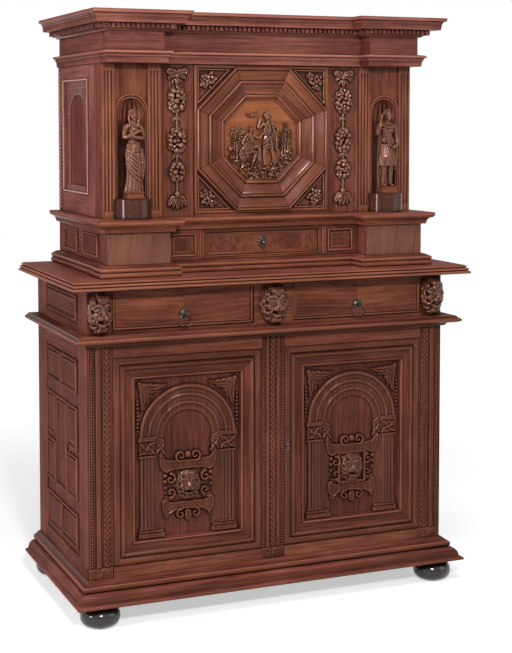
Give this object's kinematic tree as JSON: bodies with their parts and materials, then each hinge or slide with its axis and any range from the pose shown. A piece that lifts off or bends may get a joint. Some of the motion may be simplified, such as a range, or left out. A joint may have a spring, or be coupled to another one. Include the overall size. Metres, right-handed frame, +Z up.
{
  "type": "two-part buffet",
  "caption": "Carved walnut buffet in the Renaissance style: a wide lower cupboard with drawers carries a set-back upper cupboard with an octagonal door between figure niches.",
  "frame": {"origin": "on the floor, under the middle of the table top's outline", "axes": "+Z up, -Y towards the viewer in front of the doors, +X to the viewer's right"},
  "size_m": [1.44, 0.716, 1.987],
  "materials": {
    "walnut": "waxed, satin",
    "carved_walnut": "carved, waxed",
    "plain_oak": "planed, dry",
    "ebonised_wood": "polished",
    "dark_iron": "aged"
  },
  "bodies": {
    "cabinet": {"foot_front_left": "ebonised_wood", "foot_front_right": "ebonised_wood", "foot_back_left": "ebonised_wood", "foot_back_right": "ebonised_wood", "plinth": "walnut", "corner_post_left": "walnut", "corner_post_right": "walnut", "centre_post": "walnut", "lower_side_left": "walnut", "lower_side_right": "walnut", "lower_back": "plain_oak", "sill_rail": "walnut", "drawer_bearer": "walnut", "waist_moulding": "walnut", "door_pin_left_top": "dark_iron", "door_pin_left_bottom": "dark_iron", "door_pin_right_top": "dark_iron", "door_pin_right_bottom": "dark_iron", "lion_left": "carved_walnut", "lion_centre": "carved_walnut", "lion_right": "carved_walnut", "table_top": "walnut", "upper_base_board": "walnut", "base_carcase": "walnut", "base_block_left": "walnut", "base_block_right": "walnut", "ledge": "walnut", "upper_side_left": "walnut", "upper_side_right": "walnut", "upper_back": "plain_oak", "niche_unit_left": "walnut", "niche_unit_right": "walnut", "drum_left": "walnut", "drum_right": "walnut", "figure_left": "carved_walnut", "figure_right": "carved_walnut", "upper_pin_top": "dark_iron", "upper_pin_bottom": "dark_iron", "entablature": "walnut", "cornice": "walnut"},
    "door_left": {"door_frame_left": "walnut", "door_panel_left": "carved_walnut"},
    "door_right": {"door_frame_right": "walnut", "door_panel_right": "carved_walnut", "lock_case": "dark_iron"},
    "lock_bolt": {"lock_bolt": "dark_iron"},
    "drawer_left": {"drawer_front_left": "walnut", "drawer_box_left": "plain_oak", "pull_plate_left": "dark_iron"},
    "drawer_right": {"drawer_front_right": "walnut", "drawer_box_right": "plain_oak", "pull_plate_right": "dark_iron"},
    "ring_left": {"pull_ring_left": "dark_iron"},
    "ring_right": {"pull_ring_right": "dark_iron"},
    "upper_door": {"upper_door_frame": "walnut", "upper_door_panel": "carved_walnut"},
    "centre_drawer": {"centre_drawer": "walnut", "centre_pull": "dark_iron"},
    "side_drawer_left": {"side_drawer_left": "walnut"},
    "side_drawer_right": {"side_drawer_right": "walnut"}
  },
  "joints": [
    {"name": "door_left_hinge", "type": "hinge", "parent": "cabinet", "child": "door_left", "pos_m": [-0.5565, -0.2645, 0.183], "axis": [0, 0, -1], "range_deg": [0, 100]},
    {"name": "door_right_hinge", "type": "hinge", "parent": "cabinet", "child": "door_right", "pos_m": [0.5565, -0.2645, 0.183], "axis": [0, 0, 1], "range_deg": [0, 100]},
    {"name": "lock_bolt_slide", "type": "slide", "parent": "door_right", "child": "lock_bolt", "axis": [-1, 0, 0], "range_m": [0, 0.03]},
    {"name": "drawer_left_slide", "type": "slide", "parent": "cabinet", "child": "drawer_left", "axis": [0, -1, 0], "range_m": [0, 0.4]},
    {"name": "ring_left_hinge", "type": "hinge", "parent": "drawer_left", "child": "ring_left", "pos_m": [-0.318, -0.2803, 0.99915], "axis": [-1, 0, 0], "range_deg": [0, 90]},
    {"name": "drawer_right_slide", "type": "slide", "parent": "cabinet", "child": "drawer_right", "axis": [0, -1, 0], "range_m": [0, 0.4]},
    {"name": "ring_right_hinge", "type": "hinge", "parent": "drawer_right", "child": "ring_right", "pos_m": [0.318, -0.2803, 0.99915], "axis": [-1, 0, 0], "range_deg": [0, 90]},
    {"name": "upper_door_hinge", "type": "hinge", "parent": "cabinet", "child": "upper_door", "pos_m": [0.2405, -0.1745, 1.32], "axis": [0, 0, 1], "range_deg": [0, 95]},
    {"name": "centre_drawer_slide", "type": "slide", "parent": "cabinet", "child": "centre_drawer", "axis": [0, -1, 0], "range_m": [0, 0.3]},
    {"name": "side_drawer_left_slide", "type": "slide", "parent": "cabinet", "child": "side_drawer_left", "axis": [-1, 0, 0], "range_m": [0, 0.18]},
    {"name": "side_drawer_right_slide", "type": "slide", "parent": "cabinet", "child": "side_drawer_right", "axis": [1, 0, 0], "range_m": [0, 0.18]}
  ]
}
